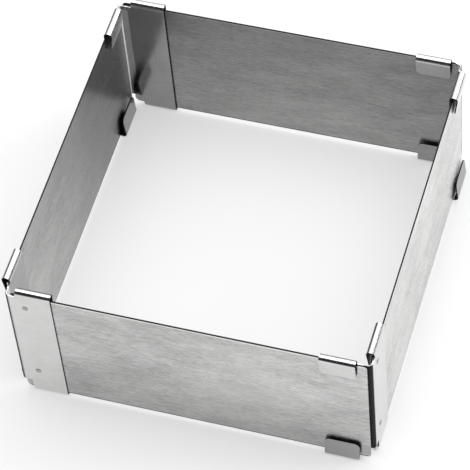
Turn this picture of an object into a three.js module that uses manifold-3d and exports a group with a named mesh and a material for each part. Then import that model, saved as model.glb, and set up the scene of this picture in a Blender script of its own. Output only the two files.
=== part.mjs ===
import * as THREE from 'three';
import Module from 'manifold-3d';
import { mergeVertices } from 'three/addons/utils/BufferGeometryUtils.js';

// Adjustable cake frame, in millimetres with +Z up.
// Four equal sheet walls stand on edge in a rectangle. Each wall has a corner bracket spot-welded
// to the outside of one end. The bracket turns the corner behind the next wall and grips it from
// inside, with lips rolled over the wall's two long edges, so that the next wall slides in it.
// X runs along the front wall, Y from front to back. The origin is on the surface that the frame
// stands on, in the middle of its outline.

// Walls
const wallLength = 189;
const wallHeight = 85;
const wallThickness = 0.8;
const wallCornerRadius = 2.5;

// How far the walls run on past the clips that they slide in, as the frame is set here
const frontWallPastClip = 5.4;
const sideWallPastClip = 0;

// Corner brackets. Clip places are measured from the outer face round the corner.
const bracketThickness = 0.8;
const bendRadius = 1.3;
const topBendRelief = 1;
const bottomBendRelief = 7;
const clipStart = 7;
const clipLength = 19;
const clipHeelRadius = 4;

// Lips rolled over the long edges of a wall
const rollGap = 3.2;
const lipReach = 12;
const lipCornerRadius = 3;
const topLipGap = 0.3;
const bottomLipGap = 0.8;

// Clearances
const slideClearance = 0.5;
const edgeClearance = 0.2;
const wallEndClearance = 0.1;
const weldClearance = 0.3;

// Spot welds that hold a bracket to its own wall
const weldDiameter = 2.6;
const weldHeadDiameter = 4;
const weldHeadHeight = 0.2;
const weldFromClipStart = 4.5;
const upperWeldFromEdge = 10;
const lowerWeldFromEdge = 17;

// Reach of a cutting solid past the faces that it cuts
const overrun = 2;

// Facets: an odd number over the half turn of a roll leaves a level one for the frame to stand on
const rollFacets = 21;
const bendFacets = 8;
const cornerFacets = 8;
const weldFacets = 24;

// Colours and finishes
const brushedSteel = { color: 0xb4b4b2, roughness: 0.38, metalness: 1 };
const polishedSteel = { color: 0xd2d2d0, roughness: 0.16, metalness: 1 };
const weldedSteel = { color: 0x8f8e8b, roughness: 0.45, metalness: 1 };

const quarterTurn = Math.PI / 2;
const halfTurn = Math.PI;

// Heights: the frame stands on the level facets of its lower rolls
const rollInnerRadius = rollGap / 2;
const rollOuterRadius = rollInnerRadius + bracketThickness;
const wallBottom = rollOuterRadius * Math.cos(halfTurn / rollFacets / 2) + edgeClearance;
const wallTop = wallBottom + wallHeight;

// Plan of a corner: the sliding wall's outer face is at 0, and the bracket's leg is behind it
const legFace = wallThickness + slideClearance;
const bendCentre = legFace + bracketThickness + bendRadius;
const wallFixedEnd = bendCentre + wallEndClearance;

// Frame over the outer faces of opposite walls
const frameWidth = wallFixedEnd + wallLength - frontWallPastClip + clipStart;
const frameDepth = wallFixedEnd + wallLength - sideWallPastClip + clipStart;

const wasm = await Module();
wasm.setup();

const right = new THREE.Vector3(1, 0, 0);
const left = new THREE.Vector3(-1, 0, 0);
const back = new THREE.Vector3(0, 1, 0);
const front = new THREE.Vector3(0, -1, 0);
const up = new THREE.Vector3(0, 0, 1);

const at = (x, y) => new THREE.Vector2(x, y);

// A solid from a closed three.js geometry
function solidOf(geometry) {
  geometry.deleteAttribute('normal');
  geometry.deleteAttribute('uv');
  const merged = mergeVertices(geometry);
  return new wasm.Manifold(new wasm.Mesh({
    numProp: 3,
    vertProperties: merged.attributes.position.array,
    triVerts: new Uint32Array(merged.index.array),
  }));
}

// A three.js geometry from a solid
function geometryOf(solid) {
  const mesh = solid.getMesh();
  const indexed = new THREE.BufferGeometry();
  indexed.setAttribute('position', new THREE.BufferAttribute(mesh.vertProperties, mesh.numProp));
  indexed.setIndex(new THREE.BufferAttribute(mesh.triVerts, 1));
  const geometry = indexed.toNonIndexed();
  geometry.computeVertexNormals();
  return geometry;
}

// Points along an arc, both ends included
function arc(centre, radius, fromAngle, toAngle, facets) {
  return Array.from({ length: facets + 1 }, (_, i) => {
    const angle = fromAngle + (toAngle - fromAngle) * i / facets;
    return at(centre.x + radius * Math.cos(angle), centre.y + radius * Math.sin(angle));
  });
}

// An outline extruded, with its X and Y and its length turned to run along three axes
function extrusion(outline, length, xAxis, yAxis, lengthAxis) {
  const shape = new THREE.Shape(outline);
  const geometry = new THREE.ExtrudeGeometry(shape, { depth: length, bevelEnabled: false });
  geometry.applyMatrix4(new THREE.Matrix4().makeBasis(xAxis, yAxis, lengthAxis));
  return solidOf(geometry);
}

// An upright outline in X and Z, made thick from Y = 0 backwards
function plate(outline, thickness) {
  return extrusion(outline, thickness, right, up, front).translate([0, thickness, 0]);
}

// A bar along Y from Y = 0 forwards
function bar(diameter, length) {
  const cylinder = new THREE.CylinderGeometry(diameter / 2, diameter / 2, length, weldFacets);
  return solidOf(cylinder).translate([0, -length / 2, 0]);
}

// One face of a lip and its roll, from the lip's free edge to the leg. X runs from the leg's face
// across the wall and Y outwards from the wall's edge. The lip leaves its roll leaning inwards,
// so that its free edge ends restsAt from the leg's face.
function lipFace(restsAt, thicknessOut) {
  const centre = at(rollInnerRadius, edgeClearance);
  const toEdge = at(restsAt, -lipReach).sub(centre);
  const lean = Math.atan2(-toEdge.x, -toEdge.y) + Math.asin(rollInnerRadius / toEdge.length());
  const radius = rollInnerRadius + thicknessOut;
  return [
    at(restsAt + thicknessOut / Math.cos(lean), -lipReach),
    at(centre.x + radius * Math.cos(lean), centre.y - radius * Math.sin(lean)),
    ...arc(centre, radius, 0, halfTurn, rollFacets),
  ];
}

// The section of a leg and its two lips, with X from the leg's face across the wall and Y upwards
function legSection() {
  const wallFarFace = slideClearance + wallThickness;
  const atTop = (p) => at(p.x, wallTop + p.y);
  const atBottom = (p) => at(p.x, wallBottom - p.y);
  const topFace = (thicknessOut) => lipFace(wallFarFace + topLipGap, thicknessOut).map(atTop);
  const bottomFace = (thicknessOut) => lipFace(wallFarFace + bottomLipGap, thicknessOut).map(atBottom);
  return [
    ...topFace(bracketThickness),
    ...bottomFace(bracketThickness).reverse(),
    ...bottomFace(0),
    ...topFace(0).reverse(),
  ];
}

// What is cut away round a corner at (0, 0) whose sides run along +X and +Z, from Y = 0 backwards
function cornerWaste(radius, depth) {
  return plate([
    at(-overrun, -overrun),
    at(radius, -overrun),
    ...arc(at(radius, radius), radius, -quarterTurn, -halfTurn, cornerFacets),
    at(-overrun, radius),
  ], depth);
}

// A leg from X = 0 to its far end, with the wall that it holds behind its face at Y = 0
function legSolid() {
  let leg = extrusion(legSection(), clipLength, back, up, right);
  const lipWaste = cornerWaste(lipCornerRadius, rollGap + bracketThickness + overrun);
  const lowerLipWaste = lipWaste.mirror([0, 0, 1]).translate([0, 0, wallBottom + lipReach]);
  const upperLipWaste = lipWaste.translate([0, 0, wallTop - lipReach]);
  for (const nearWaste of [lowerLipWaste, upperLipWaste]) {
    const placed = nearWaste.translate([0, wallThickness / 2, 0]);
    leg = leg.subtract(placed).subtract(placed.mirror([1, 0, 0]).translate([clipLength, 0, 0]));
  }
  const heelWaste = cornerWaste(clipHeelRadius, rollGap + 2 * (bracketThickness + overrun));
  return leg.subtract(heelWaste.translate([0, -bracketThickness - overrun, 0]));
}

// The upright bend between the two legs, with the plain strips on its two sides
function bendSolid() {
  const end = clipStart + overrun;
  const centre = at(bendCentre, bendRadius);
  const outline = [
    at(end, -bracketThickness),
    at(end, 0),
    ...arc(centre, bendRadius, -quarterTurn, -halfTurn, bendFacets),
    at(bendCentre - bendRadius, end),
    at(legFace, end),
    ...arc(centre, bendRadius + bracketThickness, -halfTurn, -quarterTurn, bendFacets),
  ];
  const height = wallHeight - topBendRelief - bottomBendRelief;
  return extrusion(outline, height, right, back, up).translate([0, 0, wallBottom + bottomBendRelief]);
}

const weldPlaces = {
  upper: [clipStart + weldFromClipStart, 0, wallTop - upperWeldFromEdge],
  lower: [clipStart + weldFromClipStart, 0, wallBottom + lowerWeldFromEdge],
};

// A bracket at its corner: the welded leg runs along X outside its wall, the clipping leg along Y
function bracketSolid() {
  const quarterRound = new THREE.Matrix4().makeBasis(back, left, up);
  const clippingLeg = solidOf(geometryOf(legSolid()).applyMatrix4(quarterRound));
  let bracket = bendSolid()
    .add(legSolid().translate([clipStart, 0, 0]))
    .add(clippingLeg.translate([legFace, clipStart, 0]));
  const hole = bar(weldDiameter + 2 * weldClearance, bracketThickness + 2 * overrun);
  for (const place of Object.values(weldPlaces)) {
    bracket = bracket.subtract(hole.translate(place).translate([0, overrun / 2, 0]));
  }
  return bracket;
}

// A spot weld: it stands on the wall's outer face, and its head spreads on the bracket
function weldSolid(place) {
  const head = bar(weldHeadDiameter, weldHeadHeight).translate([0, -bracketThickness, 0]);
  return bar(weldDiameter, bracketThickness).add(head).translate(place);
}

// A wall at its corner: it runs along X from its welded end, with its outer face at Y = 0
function wallSolid() {
  const radius = wallCornerRadius;
  const farX = wallLength - radius;
  const farZ = wallHeight - radius;
  const outline = [
    ...arc(at(radius, radius), radius, -halfTurn, -quarterTurn, cornerFacets),
    ...arc(at(farX, radius), radius, -quarterTurn, 0, cornerFacets),
    ...arc(at(farX, farZ), radius, 0, quarterTurn, cornerFacets),
    ...arc(at(radius, farZ), radius, quarterTurn, halfTurn, cornerFacets),
  ];
  return plate(outline, wallThickness).translate([wallFixedEnd, 0, wallBottom]);
}

// The four sides in order, each with the corner that its wall is welded at and the axes there
const sides = [
  { wall: 'front_wall', corner: 'front_left', xAxis: right, yAxis: back },
  { wall: 'right_wall', corner: 'front_right', xAxis: back, yAxis: left },
  { wall: 'back_wall', corner: 'back_right', xAxis: left, yAxis: front },
  { wall: 'left_wall', corner: 'back_left', xAxis: front, yAxis: right },
];

const cakeFrame = new THREE.Group();
for (const { wall, corner, xAxis, yAxis } of sides) {
  const towardsCorner = xAxis.clone().add(yAxis).negate();
  const turn = new THREE.Matrix4().makeBasis(xAxis, yAxis, up);
  const group = new THREE.Group();
  group.position.set(towardsCorner.x * frameWidth / 2, towardsCorner.y * frameDepth / 2, 0);
  const addPiece = (name, solid, finish) => {
    const mesh = new THREE.Mesh(
      geometryOf(solid).applyMatrix4(turn),
      new THREE.MeshStandardMaterial(finish),
    );
    mesh.name = name;
    group.add(mesh);
  };
  addPiece(wall, wallSolid(), brushedSteel);
  addPiece(`${corner}_bracket`, bracketSolid(), polishedSteel);
  for (const [height, place] of Object.entries(weldPlaces)) {
    addPiece(`${corner}_${height}_weld`, weldSolid(place), weldedSteel);
  }
  cakeFrame.add(group);
}

export default cakeFrame;
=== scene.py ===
import math
from typing import NamedTuple

import bmesh
import bpy
from bpy.props import FloatProperty, FloatVectorProperty, PointerProperty
from mathutils import Euler, Matrix, Vector


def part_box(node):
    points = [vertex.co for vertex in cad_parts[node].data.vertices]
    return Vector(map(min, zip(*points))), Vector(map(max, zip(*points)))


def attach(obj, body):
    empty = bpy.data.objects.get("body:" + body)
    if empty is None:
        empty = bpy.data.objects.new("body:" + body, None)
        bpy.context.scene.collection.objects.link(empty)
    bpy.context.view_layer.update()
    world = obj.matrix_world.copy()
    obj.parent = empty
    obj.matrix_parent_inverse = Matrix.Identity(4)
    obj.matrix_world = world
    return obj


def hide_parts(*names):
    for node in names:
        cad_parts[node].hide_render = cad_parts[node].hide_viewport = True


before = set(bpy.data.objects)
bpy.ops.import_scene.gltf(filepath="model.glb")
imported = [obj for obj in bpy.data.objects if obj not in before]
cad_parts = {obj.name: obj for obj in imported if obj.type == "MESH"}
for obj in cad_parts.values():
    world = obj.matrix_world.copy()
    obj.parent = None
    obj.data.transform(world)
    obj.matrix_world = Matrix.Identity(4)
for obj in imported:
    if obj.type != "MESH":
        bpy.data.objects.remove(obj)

bl_info = {
    "name": "Adjustable cake frame",
    "version": (1, 0, 0),
    "blender": (4, 5, 0),
    "location": "View3D > Sidebar > Cake frame",
    "description": "Models and lights an adjustable cake frame of brushed sheet steel on its CAD frame",
    "category": "Add Mesh",
}

MM = 0.001
HALF_TURN = math.pi
QUARTER_TURN = math.pi / 2

# How close two places lie that count as one
NEAR = 0.01 * MM

# The CAD boxes that the visible pieces are sized from
FRONT_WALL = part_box("front_wall")
RIGHT_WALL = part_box("right_wall")
CORNER_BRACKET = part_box("front_left_bracket")
UPPER_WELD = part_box("front_left_upper_weld")
LOWER_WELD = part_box("front_left_lower_weld")

OUTER_CORNER = Vector((-RIGHT_WALL[1].x, FRONT_WALL[0].y, 0))
WALL_BOTTOM = FRONT_WALL[0].z
WALL_TOP = FRONT_WALL[1].z
WALL_THICKNESS = FRONT_WALL[1].y - FRONT_WALL[0].y
ROLL_RISE = CORNER_BRACKET[1].z - WALL_TOP

# How finely round stretches are divided
WALL_CORNER_STEPS = 10
BEND_STEPS = 10
ROLL_STEPS = 24
LIP_CORNER_STEPS = 8
EDGE_STEPS = 2
WELD_STEPS = 48

# The angles that divide edges to round from flat ones, and creases from smooth bends
SHEARED_ANGLE = math.radians(50)
SHEET_CREASE = math.radians(30)
WELD_CREASE = math.radians(60)

# A sheet's two materials, in the order of its slots
FACE_STEEL = 0
EDGE_STEEL = 1

# The least upright part of a face's direction, for a wall's cut edges and for faces that look up
CUT_EDGE_RISE = 0.5
UPWARD_RISE = 0.7

# The share of a spot weld's width that shows, and its rim's rounding as a share of its head's height
WELD_SHOWN = 0.8
WELD_ROUNDING = 0.3

# The rings of a weld's dimple, from its rim inwards: each one's width as a share of the weld's radius,
# and its drop as a share of the dimple's depth
DIMPLE_RINGS = ((0.28, 0), (0.22, 0.7), (0.2, 0.3))

# The lightness of painted marks, as a multiple of the sheet's own colour: a painted highlight under the
# outer top edges, painted shade lines along the edges, painted shade on the lower lips and on the cut edges
TOP_EDGE_HIGHLIGHT_TONE = 1.7
EDGE_LINE_SHADE_TONE = 0.02
LOWER_LIP_SHADE_TONE = 0.5
CUT_EDGE_SHADE_TONE = 0.025

NOISE_MIDDLE = 0.5
WHITE = (1, 1, 1, 1)


class Side(NamedTuple):
    """A side of the frame, as its wall's name, which its body shares, and the corner of its bracket."""

    wall: str
    corner: str


# Each side is a quarter turn from the last
SIDES = (
    Side("front", "front_left"),
    Side("right", "front_right"),
    Side("back", "back_right"),
    Side("left", "back_left"),
)


def length(name, description, default_mm):
    """A size in metres, given here in millimetres."""
    return FloatProperty(
        name=name, description=description, default=default_mm * MM, min=0, unit="LENGTH", precision=5)


def colour(name, description, default):
    """A colour as red, green and blue from 0 to 1."""
    return FloatVectorProperty(
        name=name, description=description, default=default, min=0, max=1, subtype="COLOR")


def share(name, description, default):
    """A share from 0 to 1."""
    return FloatProperty(
        name=name, description=description, default=default, min=0, max=1, subtype="FACTOR")


def place(name, description, default):
    """A place in metres."""
    return FloatVectorProperty(
        name=name, description=description, default=default, subtype="TRANSLATION", unit="LENGTH")


def angle(name, description, default):
    """An angle in radians."""
    return FloatProperty(name=name, description=description, default=default, subtype="ANGLE")


def power(name, description, default):
    """A lamp's power in watts."""
    return FloatProperty(name=name, description=description, default=default, min=0, unit="POWER")


class CakeFrameSizes(bpy.types.PropertyGroup):
    """Sizes of the sheet metal that the CAD boxes don't give."""

    sheet_thickness: length("Bracket sheet", "Thickness of the brackets' sheet", 0.8)
    wall_corner_radius: length("Wall corner", "Radius of a wall's four corners", 2.5)
    clip_start: length("Clip start", "From the frame's outer face to the near edge of a bracket's leg", 7)
    clip_length: length("Clip length", "Length of a bracket's leg along its wall", 19)
    slide_clearance: length("Slide clearance", "Gap between a sliding wall and the bracket behind it", 0.5)
    edge_clearance: length("Edge clearance", "From a wall's edge to the centre of the roll over it", 0.2)
    bend_radius: length("Bend radius", "Inner radius of a bracket's upright bend", 1.3)
    top_bend_relief: length("Top bend relief", "How far the bend stops below the walls' top edges", 1)
    bottom_bend_relief: length(
        "Bottom bend relief", "How far the bend stops above the walls' bottom edges", 7)
    heel_radius: length("Heel radius", "Rounding of a leg's lower near corner", 4)
    lip_reach: length("Lip reach", "How far a lip covers its wall, from the wall's edge", 12)
    lip_corner_radius: length("Lip corner", "Radius of a lip's two corners", 3)
    top_lip_gap: length("Top lip gap", "From a wall to the free edge of a top lip", 0.3)
    bottom_lip_gap: length("Bottom lip gap", "From a wall to the free edge of a bottom lip", 0.8)
    edge_rounding: length("Edge rounding", "Rounding of the sheared edges", 0.12)
    weld_dimple: length("Weld dimple", "Depth of the dimple in a spot weld", 0.12)


class CakeFrameFinish(bpy.types.PropertyGroup):
    """Colours and grain of the steel, and the painted shade and painted highlight on it."""

    wall_colour: colour("Wall steel", "Colour of the brushed walls", (0.58, 0.58, 0.575))
    bracket_colour: colour("Bracket steel", "Colour of the smooth brackets", (0.655, 0.655, 0.65))
    weld_colour: colour("Weld", "Colour of the dulled steel of a spot weld", (0.41, 0.405, 0.395))
    # Painted shade: the shares below darken the steel on the inner faces, most at their tops and at the side
    # walls' back ends, and on the front and back walls' outer feet
    inner_shade_share: share("Inner faces", "Colour that baking leaves on faces inside the frame", 0.46)
    front_side_shade_share: share(
        "Inner sides", "Colour that it leaves on the front of the side walls' inner faces", 0.74)
    side_shade_fall: share("Fall to the back", "How much less it leaves at the side walls' back ends", 0.42)
    shade_reach: length("Bake reach", "From the frame's back to where that fall begins", 160)
    shade_core: share("Bake core", "Part of that reach, at the back, where the fall is complete", 0.35)
    top_shade_fall: share("Fall to the top", "How much less it leaves at the inner faces' tops than feet", 0.44)
    foot_shade_fall: share("Fall to the foot", "How much darker the front's and back's outer faces get", 0.28)
    foot_shade_start: share("Foot start", "Part of the walls' height at which that fall begins", 0.6)
    # Painted shade: the colour painted into the crevices behind the sliding walls' ends
    corner_shade_share: share("Grime", "Colour that steel keeps in the corners behind the sliding walls' ends", 0.02)
    wall_roughness: share("Wall roughness", "Mean roughness of the brushed walls", 0.29)
    bracket_roughness: share("Bracket roughness", "Mean roughness of the brackets", 0.16)
    edge_roughness: share("Edge roughness", "Mean roughness of the sheared edges", 0.45)
    weld_roughness: share("Weld roughness", "Mean roughness of the spot welds", 0.325)
    grain_length: length("Grain length", "Length of a brushing mark", 3.5)
    grain_height: length("Grain height", "Height of a brushing mark", 0.5)


class CakeFrameStage(bpy.types.PropertyGroup):
    """Camera, floor and lamps."""

    camera_place: place("Camera place", "Where the photograph was taken from", (0.3277, -0.8553, 1.2923))
    camera_yaw: angle("Camera yaw", "Turn of the view to the left of the back", 0.3715)
    camera_pitch: angle("Camera pitch", "Tilt of the view above level", -0.941)
    camera_roll: angle("Camera roll", "Turn of the camera about its line of sight", -0.109)
    focal_share: FloatProperty(
        name="Focal length", description="Focal length as a multiple of the image's width",
        default=6.164, min=0.1)
    floor_colour: colour("Floor", "Colour of the pale floor", (0.79, 0.79, 0.79))
    floor_width: length("Floor width", "Width of the floor", 6000)
    floor_glow: share("Floor glow", "How far the floor is seen as plain white", 0.4)
    floor_reach: length("Floor reach", "From the middle to where the floor is seen as plain white only", 700)
    lamp_place: place("Lamp place", "Middle of the soft lamp above the frame", (-0.05, 0.05, 1.5))
    lamp_size: length("Lamp size", "Width of the soft lamp", 2200)
    lamp_strength: power("Lamp power", "Power of the soft lamp", 34.5)
    side_lamp_place: place("Side lamp place", "Middle of the lamp at the right", (1.3, 0.7, 0.45))
    side_lamp_size: length("Side lamp size", "Width of the lamp at the right", 1000)
    side_lamp_strength: power("Side lamp power", "Power of the lamp at the right", 20)
    screen_radius: length("Screen radius", "Radius of the dark dome that reflections see", 1400)
    screen_foot: share("Screen foot", "Part of the dome's radius over which its grey foot turns dark", 0.45)
    opening_spread: angle("Opening spread", "Half the angle that the dome's opening spans", math.radians(45))
    opening_tilt: angle("Opening tilt", "How far the dome's opening leans to the back", math.radians(30))
    sky_strength: FloatProperty(
        name="Sky strength", description="Strength of the even light all round", default=0.35, min=0)


class Value:
    """An output of a finish's nodes. Arithmetic on it adds Math nodes."""

    def __init__(self, finish, output):
        self.finish = finish
        self.output = output

    def __abs__(self):
        return self.finish.compute("ABSOLUTE", self)

    def __add__(self, other):
        return self.finish.compute("ADD", self, other)

    def __sub__(self, other):
        return self.finish.compute("SUBTRACT", self, other)

    def __rsub__(self, other):
        return self.finish.compute("SUBTRACT", other, self)

    def __mul__(self, other):
        return self.finish.compute("MULTIPLY", self, other)

    def __truediv__(self, other):
        return self.finish.compute("DIVIDE", self, other)

    def __rtruediv__(self, other):
        return self.finish.compute("DIVIDE", other, self)

    __radd__ = __add__
    __rmul__ = __mul__


class Finish:
    """A material, or the world, built from nodes."""

    def __init__(self, owner):
        owner.use_nodes = True
        self.tree = owner.node_tree
        self.tree.nodes.clear()

    def node(self, kind, settings, inputs, output=0):
        """Adds a node with its settings, then its inputs, and gives one of its outputs."""
        node = self.tree.nodes.new(kind)
        for name, value in settings.items():
            setattr(node, name, value)
        for name, value in inputs.items():
            if isinstance(value, Value):
                self.tree.links.new(value.output, node.inputs[name])
            else:
                node.inputs[name].default_value = value
        return Value(self, node.outputs[output]) if node.outputs else None

    def compute(self, operation, *values):
        """The result of a Math node's operation."""
        return self.node("ShaderNodeMath", {"operation": operation}, dict(enumerate(values)))

    def parts(self, vector):
        """X, Y and Z of a vector."""
        split = self.node("ShaderNodeSeparateXYZ", {}, {0: vector}).output.node
        return [Value(self, output) for output in split.outputs]

    def place(self):
        """X, Y and Z on the object, in metres."""
        return self.parts(self.node("ShaderNodeTexCoord", {}, {}, "Object"))

    def facing(self):
        """X, Y and Z of the surface's direction."""
        return self.parts(self.node("ShaderNodeNewGeometry", {}, {}, "Normal"))

    def noise(self, x, y, z, detail, seed):
        """Noise from 0 to 1 whose grains are about as long as a unit of x, y and z."""
        point = self.node("ShaderNodeCombineXYZ", {}, {0: x + seed, 1: y, 2: z})
        return self.node("ShaderNodeTexNoise", {}, {"Vector": point, "Scale": 1.0, "Detail": detail})

    def sheet_noise(self, length, height, detail, seed, depth=125 * MM):
        """Noise from 0 to 1 on upright sheets, with the length of its grains along the sheets, their height,
        and their depth through them."""
        x, y, z = self.place()
        return self.noise((x + y) / length, z / height, (x - y) / depth, detail, seed)

    def ramp(self, value, start, end):
        """0 up to the start and 1 from the end on."""
        inputs = {0: value, 1: start, 2: end, 3: 0.0, 4: 1.0}
        return self.node("ShaderNodeMapRange", {"clamp": True}, inputs)

    def mixed(self, first, second, factor):
        return self.node("ShaderNodeMix", {"data_type": "RGBA"}, {6: first, 7: second, 0: factor}, 2)

    def toned(self, base, shade, spread):
        """The base colour, made darker or lighter by up to the spread, by a shade from 0 to 1."""
        return self.mixed(tinted(base, 1 - spread), tinted(base, 1 + spread), shade)

    def dimmed(self, colour, kept):
        """The kept share of a colour."""
        settings = {"data_type": "RGBA", "blend_type": "MULTIPLY"}
        return self.node("ShaderNodeMix", settings, {0: 1.0, 6: colour, 7: kept}, 2)

    def bumped(self, height, depth, **under):
        """The surface's direction over a relief, whose height goes from 0 to 1 times the depth. Where it lies
        on another relief, that one's direction is given as Normal."""
        inputs = {"Strength": 1.0, "Distance": depth, "Height": height, **under}
        return self.node("ShaderNodeBump", {}, inputs)

    def near_height(self, height, reach):
        """1 close above and below a height, and 0 past the reach."""
        z = self.place()[2]
        return 1 - self.ramp(abs(z - height), reach / 2, reach)

    def inner_faces(self):
        """1 on faces that look into the frame, and 0 on outer ones and on the rolls over the walls."""
        x, y, z = self.place()
        facing_x, facing_y = self.facing()[:2]
        blur = 10 * MM
        inwards = self.ramp(x * facing_x + y * facing_y, blur, -blur)
        return inwards * self.ramp(z, WALL_TOP + MM, WALL_TOP - MM)

    def depths(self):
        """How far a place lies behind the plane of the nearest side wall's outer face, and how far behind
        that of the nearest front or back wall's."""
        x, y = self.place()[:2]
        return -OUTER_CORNER.x - abs(x), -OUTER_CORNER.y - abs(y)

    def lower_lips(self, reach):
        """1 on the lips that stand out from the walls' bottom edges by the reach."""
        z = self.place()[2]
        shallower = self.compute("MINIMUM", *self.depths())
        blur = reach * 0.05
        return self.ramp(shallower, blur - reach, -reach) * self.ramp(z, WALL_TOP / 2, WALL_TOP / 3)

    def past_corners(self, reach):
        """0 within reach of the frame's outer corners, and 1 past them."""
        deeper = self.compute("MAXIMUM", *self.depths())
        blur = reach * 0.02
        return self.ramp(deeper, reach - blur, reach)

    def corner_crevice_shade(self, clean_depth, reach):
        """Painted shade mask: 1 at the frame's outer corners behind a sliding wall's end, fading as the depth
        behind the sliding wall's outer face grows to the reach."""
        x, y = self.place()[:2]
        behind_side, behind_front = self.depths()
        side_wall_slides = self.ramp(x * y, -MM * MM, MM * MM)
        behind = behind_front + (behind_side - behind_front) * side_wall_slides
        deeper = self.compute("MAXIMUM", behind_side, behind_front)
        blur = reach * 0.1
        return (1 - self.ramp(behind, clean_depth, reach)) * (1 - self.ramp(deeper, reach, reach + blur))

    def seen_directly(self):
        """1 where a camera, glossy or see-through ray looks, and 0 for the light on things."""
        paths = self.node("ShaderNodeLightPath", {}, {}).output.node
        rays = ("Is Camera Ray", "Is Glossy Ray", "Is Transmission Ray")
        camera, glossy, through = (Value(self, paths.outputs[ray]) for ray in rays)
        return camera + glossy + through

    def finish_with(self, shader, target="ShaderNodeOutputMaterial"):
        self.node(target, {}, {"Surface": shader})

    def finish_with_metal(self, inputs):
        """Ends a material in a metal with these inputs."""
        self.finish_with(self.node("ShaderNodeBsdfPrincipled", {}, {"Metallic": 1.0, **inputs}))


def tinted(base, factor):
    """A multiple of a colour, with its alpha."""
    return (*(min(1, level * factor) for level in base[:3]), 1)


def swing(*weighted):
    """A sum of noises, each taken from its middle and times its weight."""
    return sum((noise - NOISE_MIDDLE) * weight for noise, weight in weighted)


def painted_shade_share(finish, looks):
    """Painted shade: the share of their colour that the walls keep, by place. Inner faces keep less than
    outer ones, least at the top and, on the side walls, at the back. The front and back walls lose some at
    the outer foot."""
    y, z = finish.place()[1:]
    sideways = abs(finish.facing()[0])
    shade_core_end = looks.shade_reach * looks.shade_core
    back_shade = 1 - finish.ramp(-OUTER_CORNER.y - y, shade_core_end, looks.shade_reach)
    back_share = looks.inner_shade_share
    side_share = looks.front_side_shade_share - back_shade * looks.side_shade_fall
    level_share = back_share + (side_share - back_share) * sideways
    half_height = 0.5
    rise = finish.ramp(z, WALL_BOTTOM, WALL_TOP)
    inner_shade_share = level_share * (1 + (half_height - rise) * looks.top_shade_fall)
    foot = finish.ramp(z, WALL_TOP * looks.foot_shade_start, WALL_BOTTOM)
    outer_share = 1 - foot * (1 - sideways) * looks.foot_shade_fall
    return outer_share + (inner_shade_share - outer_share) * finish.inner_faces()


def brushed_steel(looks):
    """Stainless sheet brushed along the walls: short level marks, cloudy patches and fine scratches, with
    painted shade by place, painted shade lines along the top and bottom edges and a painted highlight under
    the outer top edges.
    """
    material = bpy.data.materials.new("brushed_wall_steel")
    finish = Finish(material)
    base = looks.wall_colour
    mark_length = looks.grain_length
    mark_height = looks.grain_height
    fine = finish.sheet_noise(length=mark_length, height=mark_height, detail=2.0, seed=3.1)
    marks = finish.sheet_noise(length=mark_length * 2.5, height=mark_height * 2.2, detail=3.0, seed=17.4)
    clouds = finish.sheet_noise(length=30 * MM, height=11 * MM, detail=2.0, seed=41.7)
    patches = finish.sheet_noise(length=90 * MM, height=60 * MM, detail=1.0, seed=5.9)
    hairlines = finish.sheet_noise(length=30 * MM, height=0.22 * MM, detail=0.0, seed=71.3)
    scratches = finish.ramp(hairlines, start=0.70, end=0.78)

    shade = swing((fine, 1.5), (marks, 1.1), (clouds, 0.9), (patches, 0.7)) + NOISE_MIDDLE
    # Painted shade: the walls' colour dimmed by place
    sides = finish.dimmed(finish.toned(base, shade, spread=0.28), painted_shade_share(finish, looks))
    # Painted highlight under the outer faces' top edges
    top_edge_highlight = finish.near_height(WALL_TOP, reach=1.4 * MM) * (1 - finish.inner_faces())
    # Painted shade: dark lines along the walls' top and bottom edges
    edge_shade_lines = finish.near_height(WALL_TOP, reach=0.6 * MM) + finish.near_height(WALL_BOTTOM, reach=0.9 * MM)
    highlighted_sides = finish.mixed(sides, tinted(base, TOP_EDGE_HIGHLIGHT_TONE), top_edge_highlight)
    roughness = swing((fine, 0.10), (marks, 0.14), (patches, 0.10)) + scratches * 0.06
    brushed = finish.bumped(fine * 0.9 + marks * 0.5 + scratches * 0.15, depth=0.02 * MM)
    finish.finish_with_metal({
        "Base Color": finish.mixed(highlighted_sides, tinted(base, EDGE_LINE_SHADE_TONE), edge_shade_lines),
        "Anisotropic": 0.6,
        "Anisotropic Rotation": 0.25,
        "Roughness": roughness + looks.wall_roughness,
        "Normal": finish.bumped(patches, depth=0.7 * MM, Normal=brushed),
    })
    return material


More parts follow.
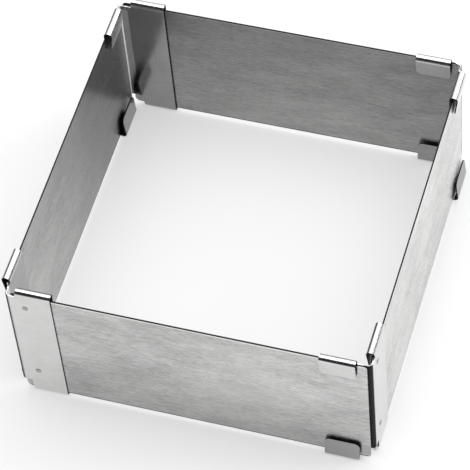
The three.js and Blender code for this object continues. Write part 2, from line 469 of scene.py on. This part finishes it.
def smooth_steel(looks):
    """The brackets' bright sheet: a faint level grain, hairline scratches and slight smudges, with painted
    shade on the inner faces, the lower lips and the corner crevices.
    """
    material = bpy.data.materials.new("smooth_bracket_steel")
    finish = Finish(material)
    base = looks.bracket_colour
    grain = finish.sheet_noise(length=6 * MM, height=0.5 * MM, detail=2.0, seed=9.2)
    smudges = finish.sheet_noise(length=11 * MM, height=13 * MM, detail=2.0, seed=55.1)
    hairlines = finish.sheet_noise(length=0.4 * MM, height=20 * MM, detail=0.0, seed=23.8)
    scratches = finish.ramp(hairlines, start=0.72, end=0.80)
    inner = finish.inner_faces()
    # Painted shade: the lower lips darker
    lips = finish.lower_lips(reach=1.2 * MM)
    # Painted shade in the crevices at the outer corners behind the sliding walls' ends, dark and not metallic
    # there
    corner_shaded = finish.corner_crevice_shade(clean_depth=2.6 * MM, reach=3.6 * MM) * (1 - inner)

    shade = swing((grain, 0.8), (smudges, 0.6)) - scratches * 0.2 + NOISE_MIDDLE
    faces = finish.toned(base, shade, spread=0.14)
    # Painted shade: the brackets' inner faces are darker
    inner_shaded = finish.toned(tinted(base, looks.inner_shade_share), shade, spread=0.2)
    corner_shade_colour = finish.toned(tinted(base, looks.corner_shade_share), shade, spread=0.2)
    lip_shaded = finish.mixed(faces, tinted(base, LOWER_LIP_SHADE_TONE), lips)
    lip_and_corner_shaded = finish.mixed(lip_shaded, corner_shade_colour, corner_shaded)
    roughness = swing((grain, 0.06), (smudges, 0.12)) + scratches * 0.08 + lips * 0.12 + corner_shaded * 0.4
    rolled = finish.bumped(grain + scratches * 0.5, depth=0.008 * MM)
    finish.finish_with_metal({
        "Base Color": finish.mixed(lip_and_corner_shaded, inner_shaded, inner * finish.past_corners(reach=4.8 * MM)),
        "Metallic": 1 - corner_shaded,
        "Specular IOR Level": 0.1,
        "Roughness": roughness + looks.bracket_roughness,
        "Normal": finish.bumped(smudges, depth=0.08 * MM, Normal=rolled),
    })
    return material


def shaded_cut_edge_steel(looks):
    """The cut edge of a sheet, streaked by the shear, its colour painted near black as shade."""
    material = bpy.data.materials.new("shaded_cut_edge_steel")
    finish = Finish(material)
    # Painted shade: the cut edges' colour near black
    base = tinted(looks.wall_colour, CUT_EDGE_SHADE_TONE)
    streaks = finish.sheet_noise(length=0.3 * MM, height=0.3 * MM, depth=2 * MM, detail=2.0, seed=12.5)
    finish.finish_with_metal({
        "Base Color": finish.toned(base, streaks, spread=0.5),
        "Roughness": swing((streaks, 0.3)) + looks.edge_roughness,
        "Normal": finish.bumped(streaks, depth=0.01 * MM),
    })
    return material


def welded_steel(looks):
    """A spot weld: dull and mottled."""
    material = bpy.data.materials.new("welded_steel")
    finish = Finish(material)
    x, y, z = finish.place()
    grain = 0.8 * MM
    mottle = finish.noise(x / grain, y / grain, z / grain, detail=3.0, seed=2.6)
    finish.finish_with_metal({
        "Base Color": finish.toned(looks.weld_colour, mottle, spread=0.25),
        "Roughness": swing((mottle, 0.25)) + looks.weld_roughness,
        "Normal": finish.bumped(mottle, depth=0.03 * MM),
    })
    return material


def select_nothing():
    """Leaves edit mode and deselects all, so that the next operator acts on its own piece alone."""
    if bpy.context.mode != "OBJECT":
        bpy.ops.object.mode_set(mode="OBJECT")
    bpy.ops.object.select_all(action="DESELECT")


def only_active(piece):
    select_nothing()
    piece.select_set(True)
    bpy.context.view_layer.objects.active = piece


def start_sheet(name, low, high):
    """A flat upright rectangle between two corners at one Y, open for editing with all selected."""
    select_nothing()
    middle = (low + high) / 2
    bpy.ops.mesh.primitive_plane_add(size=1, location=middle, rotation=(QUARTER_TURN, 0, 0))
    piece = bpy.context.object
    piece.name = name
    piece.data.name = name
    piece.scale = (high.x - low.x, high.z - low.z, 1)
    bpy.ops.object.transform_apply(location=True, rotation=True, scale=True)
    bpy.ops.object.mode_set(mode="EDIT")
    bpy.ops.mesh.select_all(action="SELECT")
    return piece


def near(a, b):
    """Whether two coordinates are as good as the same."""
    return abs(a - b) < NEAR


def select_vertices(piece, chosen):
    """Selects the vertices that the function chooses by their place, and the faces between them."""
    bpy.ops.mesh.select_all(action="DESELECT")
    bpy.ops.mesh.select_mode(type="VERT")
    mesh = bmesh.from_edit_mesh(piece.data)
    for vertex in mesh.verts:
        if chosen(vertex.co):
            vertex.select = True
    mesh.select_flush_mode()
    bmesh.update_edit_mesh(piece.data)


def select_edges(piece, chosen):
    """Selects the edges whose two ends are both chosen by the function."""
    bpy.ops.mesh.select_all(action="DESELECT")
    bpy.ops.mesh.select_mode(type="EDGE")
    mesh = bmesh.from_edit_mesh(piece.data)
    for edge in mesh.edges:
        if all(chosen(vertex.co) for vertex in edge.verts):
            edge.select = True
    bmesh.update_edit_mesh(piece.data)


def extrude(offset):
    """Extrudes what is selected and moves the new part by the offset."""
    bpy.ops.mesh.extrude_region_move(TRANSFORM_OT_translate={"value": offset})


def cut_level(height):
    """Adds a level row of edges across all of the sheet."""
    bpy.ops.mesh.select_all(action="SELECT")
    bpy.ops.mesh.bisect(plane_co=(0, 0, height), plane_no=(0, 0, 1))


def clad(piece, *materials):
    for material in materials:
        piece.data.materials.append(material)


def finish_sheet(piece, rounding, crease):
    """Rounds the sheared edges a little and smooths the rest, with flat faces that reflect as flat ones."""
    only_active(piece)
    bevel = piece.modifiers.new("sheared_edges", "BEVEL")
    bevel.width = rounding
    bevel.segments = EDGE_STEPS
    bevel.limit_method = "ANGLE"
    bevel.angle_limit = SHEARED_ANGLE
    bpy.ops.object.modifier_apply(modifier=bevel.name)
    bpy.ops.object.shade_smooth_by_angle(angle=crease)
    weighted = piece.modifiers.new("flat_faces", "WEIGHTED_NORMAL")
    weighted.mode = "FACE_AREA"
    weighted.weight = 100
    weighted.keep_sharp = True
    bpy.ops.object.modifier_apply(modifier=weighted.name)


def copies_round(model, piece_names):
    """Four copies of a piece made at the first corner, each turned to its own corner, in the order of
    SIDES. The model itself is removed."""
    pieces = []
    for quarter, name in enumerate(piece_names):
        piece = model.copy()
        piece.data = model.data.copy()
        piece.name = name
        piece.data.name = name
        bpy.context.collection.objects.link(piece)
        sign_x = 1 if quarter in (0, 3) else -1
        sign_y = 1 if quarter in (0, 1) else -1
        piece.location = (OUTER_CORNER.x * sign_x, OUTER_CORNER.y * sign_y, 0)
        piece.rotation_euler = (0, 0, quarter * QUARTER_TURN)
        only_active(piece)
        bpy.ops.object.transform_apply(location=True, rotation=True, scale=True)
        pieces.append(piece)
    bpy.data.objects.remove(model)
    return pieces


def dress(piece, node, body):
    """Sets a piece in place of its CAD node."""
    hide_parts(node)
    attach(piece, body)


class CAKEFRAME_OT_walls(bpy.types.Operator):
    """Model the four sheet walls"""

    bl_idname = "cakeframe.walls"
    bl_label = "Make the walls"

    def execute(self, context):
        sizes = context.scene.cakeframe_sizes
        looks = context.scene.cakeframe_finish
        start = FRONT_WALL[0].x - OUTER_CORNER.x
        end = FRONT_WALL[1].x - OUTER_CORNER.x
        wall = start_sheet("wall", Vector((start, 0, WALL_BOTTOM)), Vector((end, 0, WALL_TOP)))
        bpy.ops.mesh.bevel(offset=sizes.wall_corner_radius, segments=WALL_CORNER_STEPS, affect="VERTICES")
        bpy.ops.mesh.select_all(action="SELECT")
        extrude((0, WALL_THICKNESS, 0))
        bpy.ops.mesh.select_all(action="SELECT")
        bpy.ops.mesh.normals_make_consistent(inside=False)
        bpy.ops.object.mode_set(mode="OBJECT")
        clad(wall, brushed_steel(looks), shaded_cut_edge_steel(looks))
        # Top and bottom cut edges take the near-black painted-shade steel; the wall ends keep the face steel
        # and stay bright
        for face in wall.data.polygons:
            face.material_index = EDGE_STEEL if abs(face.normal.z) > CUT_EDGE_RISE else FACE_STEEL
        finish_sheet(wall, sizes.edge_rounding, SHEET_CREASE)
        walls = copies_round(wall, [side.wall + "_sheet_wall" for side in SIDES])
        for side, piece in zip(SIDES, walls):
            dress(piece, side.wall + "_wall", side.wall)
        return {"FINISHED"}


class WallEdge(NamedTuple):
    """A wall's top or bottom edge: its height, the height of its rolls' centres, the way that the lips run
    from it in Z, as 1 or -1, and the gap at their free edges."""

    height: float
    roll_height: float
    inwards: int
    lip_gap: float


class BracketPlan:
    """Where the first corner's bracket has its bend, its legs and its rolls, from the frame's outer corner.
    The welded leg runs along X in front of its own wall, and the clipping leg along Y behind the sliding
    wall."""

    def __init__(self, sizes):
        self.half_sheet = sizes.sheet_thickness / 2
        self.leg_plane = WALL_THICKNESS + sizes.slide_clearance + self.half_sheet
        self.leg_end = sizes.clip_start + sizes.clip_length
        self.bend_centre = self.leg_plane + self.half_sheet + sizes.bend_radius
        self.bend_top = WALL_TOP - sizes.top_bend_relief
        self.bend_bottom = WALL_BOTTOM + sizes.bottom_bend_relief
        half_roll_step = HALF_TURN / ROLL_STEPS / 2
        self.roll_radius = ROLL_RISE - sizes.edge_clearance - self.half_sheet / math.cos(half_roll_step)
        self.top = WallEdge(WALL_TOP, WALL_TOP + sizes.edge_clearance, -1, sizes.top_lip_gap)
        self.bottom = WallEdge(WALL_BOTTOM, WALL_BOTTOM - sizes.edge_clearance, 1, sizes.bottom_lip_gap)


class CAKEFRAME_OT_brackets(bpy.types.Operator):
    """Model the four corner brackets with their rolled clips"""

    bl_idname = "cakeframe.brackets"
    bl_label = "Make the corner brackets"

    def execute(self, context):
        sizes = context.scene.cakeframe_sizes
        looks = context.scene.cakeframe_finish
        plan = BracketPlan(sizes)
        bracket = self.make_legs(sizes, plan)
        for edge in (plan.top, plan.bottom):
            welded_leg = Vector((0, -plan.half_sheet, edge.roll_height))
            clipping_leg = Vector((plan.leg_plane, 0, edge.roll_height))
            self.roll_lip(bracket, sizes, plan, edge, welded_leg, Vector((0, 1, 0)))
            self.roll_lip(bracket, sizes, plan, edge, clipping_leg, Vector((-1, 0, 0)))
        self.round_heels(bracket, sizes)
        bpy.ops.mesh.select_all(action="SELECT")
        bpy.ops.mesh.remove_doubles(threshold=MM / 1000)
        bpy.ops.mesh.normals_make_consistent(inside=False)
        bpy.ops.object.mode_set(mode="OBJECT")
        clad(bracket, smooth_steel(looks), shaded_cut_edge_steel(looks))
        self.thicken(bracket, sizes)
        finish_sheet(bracket, sizes.edge_rounding, SHEET_CREASE)
        brackets = copies_round(bracket, [side.corner + "_corner_bracket" for side in SIDES])
        for side, piece in zip(SIDES, brackets):
            dress(piece, side.corner + "_bracket", side.wall)
        return {"FINISHED"}

    def make_legs(self, sizes, plan):
        """The middle surface of the two legs and the upright bend between them, open for editing."""
        bracket = start_sheet(
            "bracket",
            Vector((sizes.clip_start, -plan.half_sheet, plan.bottom.roll_height)),
            Vector((plan.leg_end, -plan.half_sheet, plan.top.roll_height)))
        for height in (plan.bend_bottom, plan.bend_top, sizes.heel_radius):
            cut_level(height)

        # The upright bend, from the welded leg round to the clipping leg's far end
        select_edges(bracket, lambda p: (
            near(p.x, sizes.clip_start) and plan.bend_bottom - NEAR < p.z < plan.bend_top + NEAR))
        extrude((plan.bend_centre - sizes.clip_start, 0, 0))
        bpy.ops.mesh.spin(
            steps=BEND_STEPS, angle=QUARTER_TURN,
            center=(plan.bend_centre, sizes.bend_radius, 0), axis=(0, 0, 1))
        extrude((0, sizes.clip_start - sizes.bend_radius, 0))
        extrude((0, sizes.clip_length, 0))

        # The clipping leg past the bend's top and bottom
        self.select_clipping_leg(bracket, sizes, plan, plan.bend_top)
        extrude((0, 0, plan.top.roll_height - plan.bend_top))
        self.select_clipping_leg(bracket, sizes, plan, plan.bend_bottom)
        extrude((0, 0, sizes.heel_radius - plan.bend_bottom))
        extrude((0, 0, plan.bottom.roll_height - sizes.heel_radius))
        return bracket

    def select_clipping_leg(self, bracket, sizes, plan, height):
        """Selects the clipping leg's level edge at a height."""
        select_edges(bracket, lambda p: (
            near(p.x, plan.leg_plane) and near(p.z, height) and p.y > sizes.clip_start - NEAR))

    def roll_lip(self, bracket, sizes, plan, edge, start, across):
        """Rolls a leg's edge round over the wall's edge and runs the lip back over the wall's far side.
        start is a point on the line of the leg's edge, and across points from there over the wall."""
        free_edge_out = WALL_THICKNESS + sizes.slide_clearance + edge.lip_gap + sizes.sheet_thickness
        free_edge_height = edge.height + edge.inwards * sizes.lip_reach
        to_edge = Vector((free_edge_out - plan.roll_radius, abs(free_edge_height - start.z)))
        lean = math.atan2(-to_edge.x, to_edge.y) + math.asin(plan.roll_radius / to_edge.length)
        select_edges(bracket, lambda p: near((p - start).dot(across), 0) and near(p.z, start.z))
        bpy.ops.mesh.spin(
            steps=ROLL_STEPS, angle=HALF_TURN + lean, center=start + across * plan.roll_radius,
            axis=across.cross(Vector((0, 0, -edge.inwards))))
        mesh = bmesh.from_edit_mesh(bracket.data)
        roll_end = next(vertex.co.copy() for vertex in mesh.verts if vertex.select)
        lip = across * (free_edge_out - (roll_end - start).dot(across))
        lip.z = free_edge_height - roll_end.z
        extrude(lip)
        bpy.ops.mesh.select_mode(type="VERT")
        bpy.ops.mesh.bevel(offset=sizes.lip_corner_radius, segments=LIP_CORNER_STEPS, affect="VERTICES")

    def round_heels(self, bracket, sizes):
        """Moves each row of the legs' near edges below the heels' tops in along an arc."""
        heel = sizes.heel_radius
        mesh = bmesh.from_edit_mesh(bracket.data)
        for vertex in mesh.verts:
            drop = heel - vertex.co.z
            if drop > 0:
                shift = heel - math.sqrt(max(heel * heel - drop * drop, 0))
                if near(vertex.co.x, sizes.clip_start) and vertex.co.y < sizes.clip_start - MM:
                    vertex.co.x += shift
                elif near(vertex.co.y, sizes.clip_start) and vertex.co.x < sizes.clip_start - MM:
                    vertex.co.y += shift
        bmesh.update_edit_mesh(bracket.data)

    def thicken(self, bracket, sizes):
        """Gives the middle surface its sheet's thickness and cut edges round it in the near-black
        painted-shade steel, and leaves the upward top edges in the bright face steel, where light falls on
        them.
        """
        only_active(bracket)
        sheet = bracket.modifiers.new("sheet", "SOLIDIFY")
        sheet.material_offset_rim = EDGE_STEEL
        sheet.thickness = sizes.sheet_thickness
        sheet.offset = 0
        sheet.use_even_offset = True
        bpy.ops.object.modifier_apply(modifier=sheet.name)
        # Upward rims at the top keep the face steel, unshaded, where light falls on them
        for face in bracket.data.polygons:
            if face.normal.z > UPWARD_RISE and face.center.z > WALL_TOP / 2:
                face.material_index = FACE_STEEL


class CAKEFRAME_OT_welds(bpy.types.Operator):
    """Model the spot welds that fix each bracket to its wall"""

    bl_idname = "cakeframe.welds"
    bl_label = "Make the spot welds"

    def execute(self, context):
        sizes = context.scene.cakeframe_sizes
        material = welded_steel(context.scene.cakeframe_finish)
        for height, box in (("upper", UPPER_WELD), ("lower", LOWER_WELD)):
            weld = self.make_weld(box, sizes, material)
            welds = copies_round(weld, [side.corner + "_" + height + "_spot_weld" for side in SIDES])
            for side, piece in zip(SIDES, welds):
                dress(piece, side.corner + "_" + height + "_weld", side.wall)
        return {"FINISHED"}

    def make_weld(self, box, sizes, material):
        """A spot weld's head on the first corner's bracket, with a dimple in its outer face."""
        low, high = box
        middle = (low + high) / 2 - OUTER_CORNER
        radius = (high.x - low.x) / 2 * WELD_SHOWN
        face = low.y - OUTER_CORNER.y
        head = -sizes.sheet_thickness - face
        select_nothing()
        bpy.ops.mesh.primitive_cylinder_add(
            vertices=WELD_STEPS, radius=radius, depth=head, end_fill_type="NGON",
            location=(middle.x, face + head / 2, middle.z), rotation=(QUARTER_TURN, 0, 0))
        weld = bpy.context.object
        bpy.ops.object.transform_apply(location=True, rotation=True, scale=True)
        bpy.ops.object.mode_set(mode="EDIT")
        select_vertices(weld, lambda p: near(p.y, face))
        for width, drop in DIMPLE_RINGS:
            bpy.ops.mesh.inset(thickness=radius * width, depth=-sizes.weld_dimple * drop)
        bpy.ops.object.mode_set(mode="OBJECT")
        clad(weld, material)
        finish_sheet(weld, head * WELD_ROUNDING, WELD_CREASE)
        return weld


class CAKEFRAME_OT_stage(bpy.types.Operator):
    """Set up the floor, the soft lamps and the camera"""

    bl_idname = "cakeframe.stage"
    bl_label = "Make the stage"

    def execute(self, context):
        scene = context.scene
        stage = scene.cakeframe_stage
        self.make_floor(stage)
        self.make_lamp("overhead_lamp", stage.lamp_place, stage.lamp_size, stage.lamp_strength)
        self.make_lamp("side_lamp", stage.side_lamp_place, stage.side_lamp_size, stage.side_lamp_strength)
        self.make_screen(stage)
        self.make_sky(scene, stage)
        self.make_camera(scene, stage)
        scene.view_settings.view_transform = "Standard"
        return {"FINISHED"}

    def make_floor(self, stage):
        """A pale floor that takes shadows and turns plain white away from the frame."""
        select_nothing()
        bpy.ops.mesh.primitive_plane_add(size=stage.floor_width, location=(0, 0, 0))
        floor = bpy.context.object
        floor.name = "floor"
        material = bpy.data.materials.new("pale_floor")
        finish = Finish(material)
        matt = finish.node("ShaderNodeBsdfDiffuse", {}, {"Color": (*stage.floor_colour, 1)})
        glow = finish.node("ShaderNodeEmission", {}, {"Color": WHITE, "Strength": 1.0})
        x, y = finish.place()[:2]
        from_middle = finish.compute("SQRT", x * x + y * y)
        far = finish.ramp(from_middle, stage.floor_reach / 2, stage.floor_reach)
        share_seen = finish.seen_directly() * (far * (1 - stage.floor_glow) + stage.floor_glow)
        finish.finish_with(finish.node("ShaderNodeMixShader", {}, {0: share_seen, 1: matt, 2: glow}))
        floor.data.materials.append(material)

    def make_lamp(self, name, lamp_place, size, strength):
        """A soft square lamp that shines on the frame's middle and isn't seen itself."""
        aim = Vector(lamp_place).to_track_quat("Z", "Y").to_euler()
        bpy.ops.object.light_add(type="AREA", location=lamp_place, rotation=aim)
        lamp = bpy.context.object
        lamp.name = name
        lamp.data.shape = "SQUARE"
        lamp.data.size = size
        lamp.data.energy = strength
        lamp.visible_camera = False

    def make_screen(self, stage):
        """A dark dome with an opening overhead and a grey foot, which only reflections see."""
        select_nothing()
        bpy.ops.mesh.primitive_uv_sphere_add(segments=64, ring_count=32, radius=stage.screen_radius)
        screen = bpy.context.object
        screen.name = "dark_screen"
        opening = Euler((-stage.opening_tilt, 0, 0)).to_matrix() @ Vector((0, 0, 1))
        rim = opening * stage.screen_radius * math.cos(stage.opening_spread)
        bpy.ops.object.mode_set(mode="EDIT")
        bpy.ops.mesh.select_all(action="SELECT")
        bpy.ops.mesh.bisect(plane_co=rim, plane_no=opening, clear_outer=True)
        bpy.ops.mesh.select_all(action="SELECT")
        bpy.ops.mesh.bisect(plane_co=(0, 0, 0), plane_no=(0, 0, 1), clear_inner=True)
        bpy.ops.object.mode_set(mode="OBJECT")
        material = bpy.data.materials.new("dark_cloth")
        finish = Finish(material)
        z = finish.place()[2]
        black = (0.01, 0.01, 0.01, 1)
        grey = (0.2, 0.2, 0.2, 1)
        cloth = finish.mixed(grey, black, finish.ramp(z, 0.0, stage.screen_radius * stage.screen_foot))
        finish.finish_with(finish.node("ShaderNodeBsdfDiffuse", {}, {"Color": cloth}))
        screen.data.materials.append(material)
        screen.visible_camera = False
        screen.visible_diffuse = False
        screen.visible_shadow = False

    def make_sky(self, scene, stage):
        """An even light all round, which is plain white where it is seen."""
        world = bpy.data.worlds.new("studio")
        scene.world = world
        finish = Finish(world)
        strength = finish.seen_directly() * (1.0 - stage.sky_strength) + stage.sky_strength
        even = finish.node("ShaderNodeBackground", {}, {"Color": WHITE, "Strength": strength})
        finish.finish_with(even, "ShaderNodeOutputWorld")

    def make_camera(self, scene, stage):
        """The camera at the photograph's place."""
        turn = Euler((QUARTER_TURN + stage.camera_pitch, 0, stage.camera_yaw)).to_matrix()
        turn = turn @ Matrix.Rotation(stage.camera_roll, 3, "Z")
        bpy.ops.object.camera_add(location=stage.camera_place, rotation=turn.to_euler())
        camera = bpy.context.object
        camera.name = "photo_camera"
        camera.data.sensor_width = 36
        camera.data.lens = stage.focal_share * camera.data.sensor_width
        camera.data.clip_start = 10 * MM
        scene.camera = camera


class CAKEFRAME_PT_panel(bpy.types.Panel):
    """Lists the steps that make the cake frame, with its sizes, finish and stage"""

    bl_idname = "CAKEFRAME_PT_panel"
    bl_label = "Cake frame"
    bl_space_type = "VIEW_3D"
    bl_region_type = "UI"
    bl_category = "Cake frame"

    def draw(self, context):
        for operator in OPERATORS:
            self.layout.operator(operator.bl_idname)
        for group_name in GROUPS:
            group = getattr(context.scene, group_name)
            box = self.layout.box()
            for name in group.__annotations__:
                box.prop(group, name)


GROUPS = {
    "cakeframe_sizes": CakeFrameSizes,
    "cakeframe_finish": CakeFrameFinish,
    "cakeframe_stage": CakeFrameStage,
}
OPERATORS = (CAKEFRAME_OT_walls, CAKEFRAME_OT_brackets, CAKEFRAME_OT_welds, CAKEFRAME_OT_stage)


def register():
    for cls in (*GROUPS.values(), *OPERATORS, CAKEFRAME_PT_panel):
        bpy.utils.register_class(cls)
    for name, group in GROUPS.items():
        setattr(bpy.types.Scene, name, PointerProperty(type=group))


def unregister():
    for name in GROUPS:
        delattr(bpy.types.Scene, name)
    for cls in (CAKEFRAME_PT_panel, *reversed(OPERATORS), *reversed(GROUPS.values())):
        bpy.utils.unregister_class(cls)


def main():
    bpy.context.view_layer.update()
    register()
    bpy.ops.cakeframe.walls()
    bpy.ops.cakeframe.brackets()
    bpy.ops.cakeframe.welds()
    bpy.ops.cakeframe.stage()


if __name__ == "__main__":
    main()
